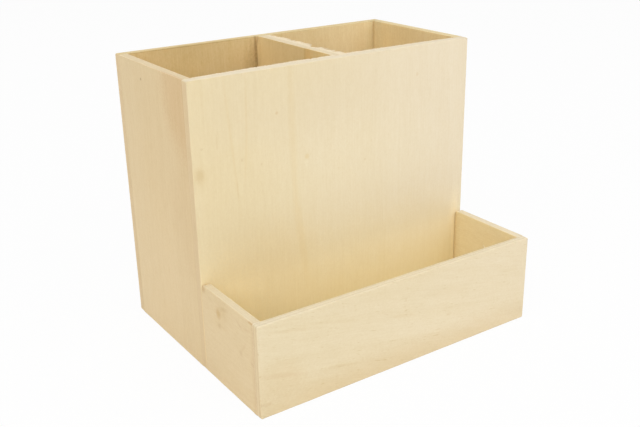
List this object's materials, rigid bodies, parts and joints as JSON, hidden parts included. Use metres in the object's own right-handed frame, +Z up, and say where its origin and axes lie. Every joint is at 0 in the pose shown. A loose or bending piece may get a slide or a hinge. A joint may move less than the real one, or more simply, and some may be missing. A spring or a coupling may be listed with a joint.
{
  "type": "pen holder",
  "caption": "Open-topped plywood desk organiser: a tall divided box for pens behind a low full-width tray.",
  "frame": {"origin": "on the table, under the middle of the footprint of the tall box and tray together", "axes": "+X to the right as seen from the tray side, +Y to the back, +Z up"},
  "size_m": [0.16, 0.1284, 0.14],
  "materials": {
    "holder_plywood": "bare pale plywood, sanded, unvarnished, with its grain upright",
    "tray_plywood": "bare pale plywood, sanded, unvarnished, with its grain level",
    "base_plywood": "bare thin plywood, unvarnished, with its grain from side to side"
  },
  "bodies": {
    "root": {"back_board": "holder_plywood", "holder_front_board": "holder_plywood", "holder_left_board": "holder_plywood", "holder_right_board": "holder_plywood", "divider": "holder_plywood", "holder_base": "base_plywood", "tray_front_board": "tray_plywood", "tray_left_board": "tray_plywood", "tray_right_board": "tray_plywood", "tray_base": "base_plywood"}
  },
  "joints": []
}
